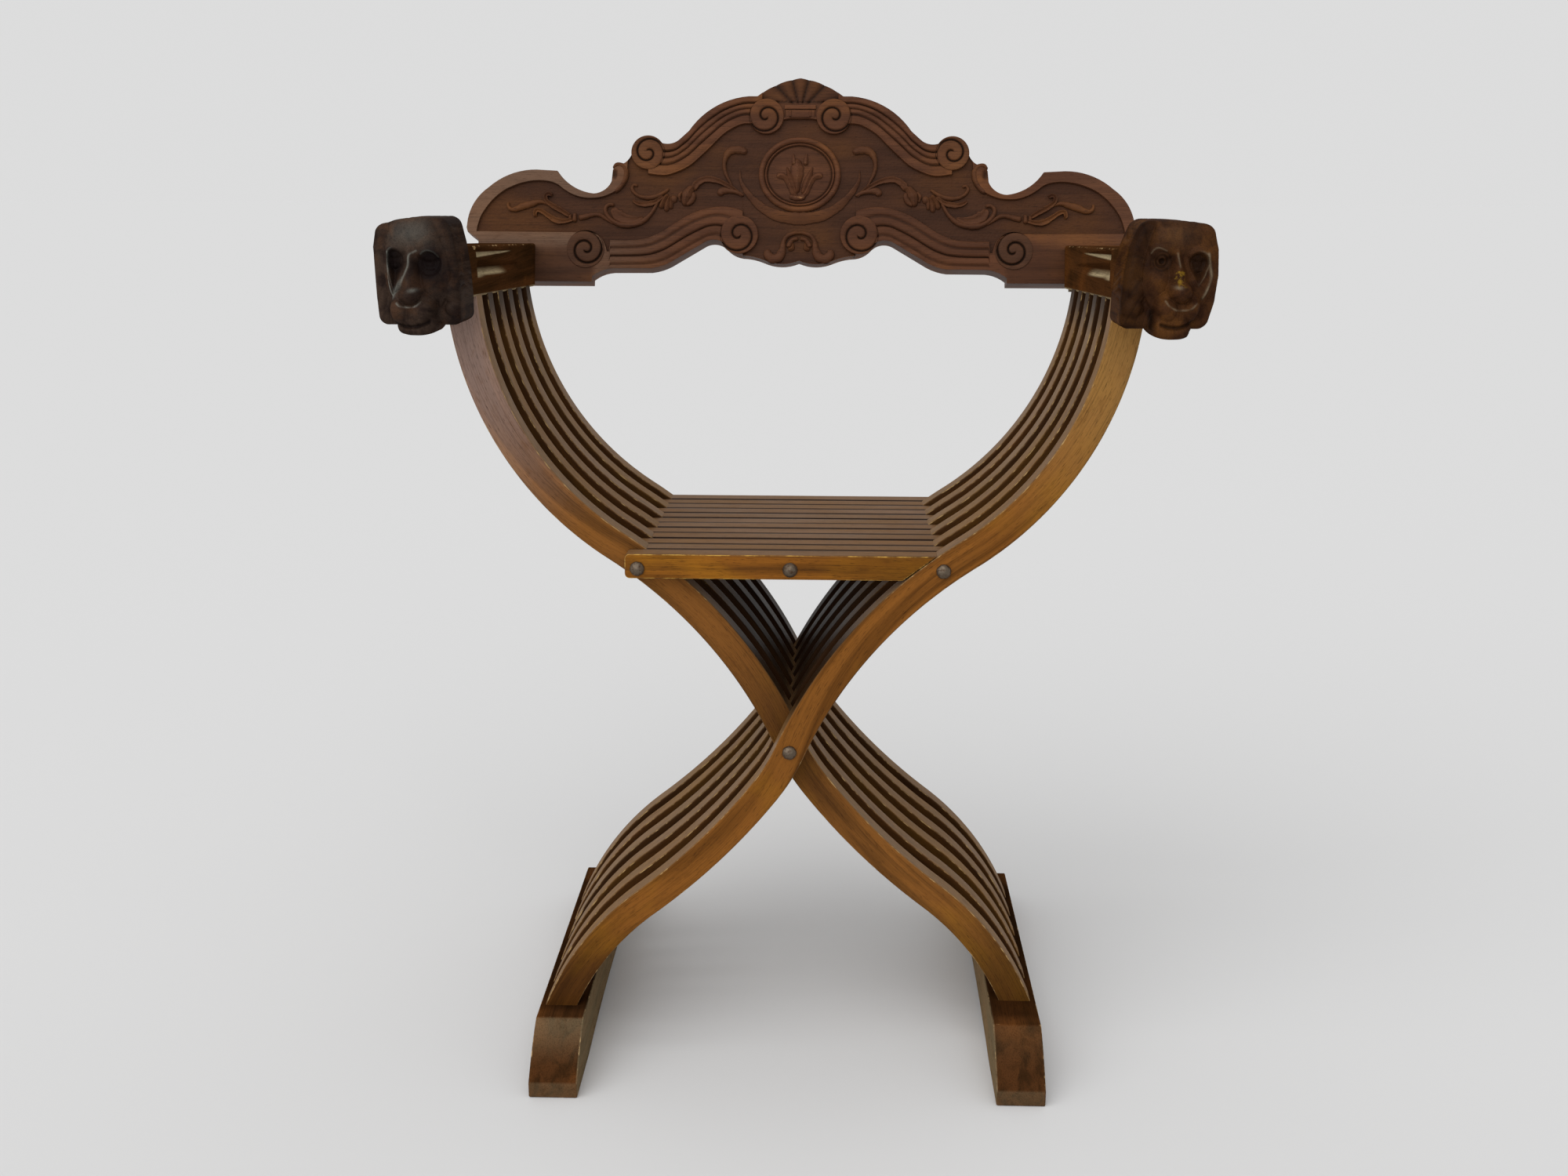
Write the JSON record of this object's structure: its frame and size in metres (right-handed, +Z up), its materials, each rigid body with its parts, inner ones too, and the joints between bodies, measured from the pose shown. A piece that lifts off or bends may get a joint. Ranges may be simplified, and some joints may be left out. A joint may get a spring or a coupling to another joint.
{
  "type": "folding x-frame armchair",
  "caption": "Folding armchair of interlaced S-curved wooden slats on two foot runners, with slatted seat, straight armrests with carved lion heads and a carved swing-away back.",
  "frame": {"origin": "on the floor under the middle of the chair's bounding box", "axes": "+Z up, -Y towards the front where the lion heads face, +X to the right as seen from the front"},
  "size_m": [0.6486, 0.4656, 0.8597],
  "materials": {
    "leg_walnut": "waxed, worn orange-brown faces",
    "seat_walnut": "waxed, worn",
    "arm_walnut": "dark stained and waxed",
    "head_walnut": "carved, dark, polished by hands",
    "back_walnut": "carved, waxed, dark punched ground",
    "dark_iron": "dark, slightly rusty"
  },
  "bodies": {
    "right_frame": {"leg_slat_right_1": "leg_walnut", "leg_slat_right_2": "leg_walnut", "leg_slat_right_3": "leg_walnut", "leg_slat_right_4": "leg_walnut", "leg_slat_right_5": "leg_walnut", "leg_slat_right_6": "leg_walnut", "arm_right": "arm_walnut", "lion_head_right": "head_walnut", "head_dowel_right": "arm_walnut", "foot_runner_left": "arm_walnut", "pivot_bolt": "dark_iron", "pivot_nut": "dark_iron", "seat_bolt_right": "dark_iron", "seat_nut_right": "dark_iron", "catch_stud": "dark_iron", "stop_pin": "dark_iron"},
    "left_frame": {"leg_slat_left_1": "leg_walnut", "leg_slat_left_2": "leg_walnut", "leg_slat_left_3": "leg_walnut", "leg_slat_left_4": "leg_walnut", "leg_slat_left_5": "leg_walnut", "leg_slat_left_6": "leg_walnut", "arm_left": "arm_walnut", "lion_head_left": "head_walnut", "head_dowel_left": "arm_walnut", "foot_runner_right": "arm_walnut", "seat_bolt_left": "dark_iron", "seat_nut_left": "dark_iron", "hinge_leaf_arm": "dark_iron", "hinge_screws_arm": "dark_iron"},
    "seat_left": {"seat_slat_01": "seat_walnut", "seat_slat_03": "seat_walnut", "seat_slat_05": "seat_walnut", "seat_slat_07": "seat_walnut", "seat_slat_09": "seat_walnut", "seat_slat_11": "seat_walnut", "seat_bolt_middle_front": "dark_iron"},
    "seat_right": {"seat_slat_02": "seat_walnut", "seat_slat_04": "seat_walnut", "seat_slat_06": "seat_walnut", "seat_slat_08": "seat_walnut", "seat_slat_10": "seat_walnut", "seat_slat_12": "seat_walnut", "seat_bolt_middle_rear": "dark_iron", "seat_nut_middle": "dark_iron"},
    "back": {"back_panel": "back_walnut", "hinge_leaf_back": "dark_iron", "hinge_pin": "dark_iron", "hinge_screws_back": "dark_iron", "catch_screw": "dark_iron"},
    "catch": {"back_catch": "dark_iron"}
  },
  "joints": [
    {"name": "chair_fold", "type": "hinge", "parent": "right_frame", "child": "left_frame", "pos_m": [0, 0, 0.29201], "axis": [0, 1, 0], "range_deg": [0, 56]},
    {"name": "seat_left_fold", "type": "hinge", "parent": "left_frame", "child": "seat_left", "pos_m": [-0.12737, 0, 0.45242], "axis": [0, -1, 0], "range_deg": [0, 101.5]},
    {"name": "seat_right_fold", "type": "hinge", "parent": "right_frame", "child": "seat_right", "pos_m": [0.12737, 0, 0.45242], "axis": [0, 1, 0], "range_deg": [0, 101.5]},
    {"name": "back_swing", "type": "hinge", "parent": "left_frame", "child": "back", "pos_m": [-0.316, 0.16668, 0.66685], "axis": [0, 0.225, 0.9744], "range_deg": [0, 110]},
    {"name": "catch_turn", "type": "hinge", "parent": "back", "child": "catch", "pos_m": [0.31265, 0.18364, 0.69065], "axis": [-1, 0, 0], "range_deg": [0, 90]}
  ],
  "couplings": [
    {"joint": "seat_left_fold", "follows": "chair_fold", "ratio": 1.8043},
    {"joint": "seat_right_fold", "follows": "chair_fold", "ratio": 1.8043}
  ]
}
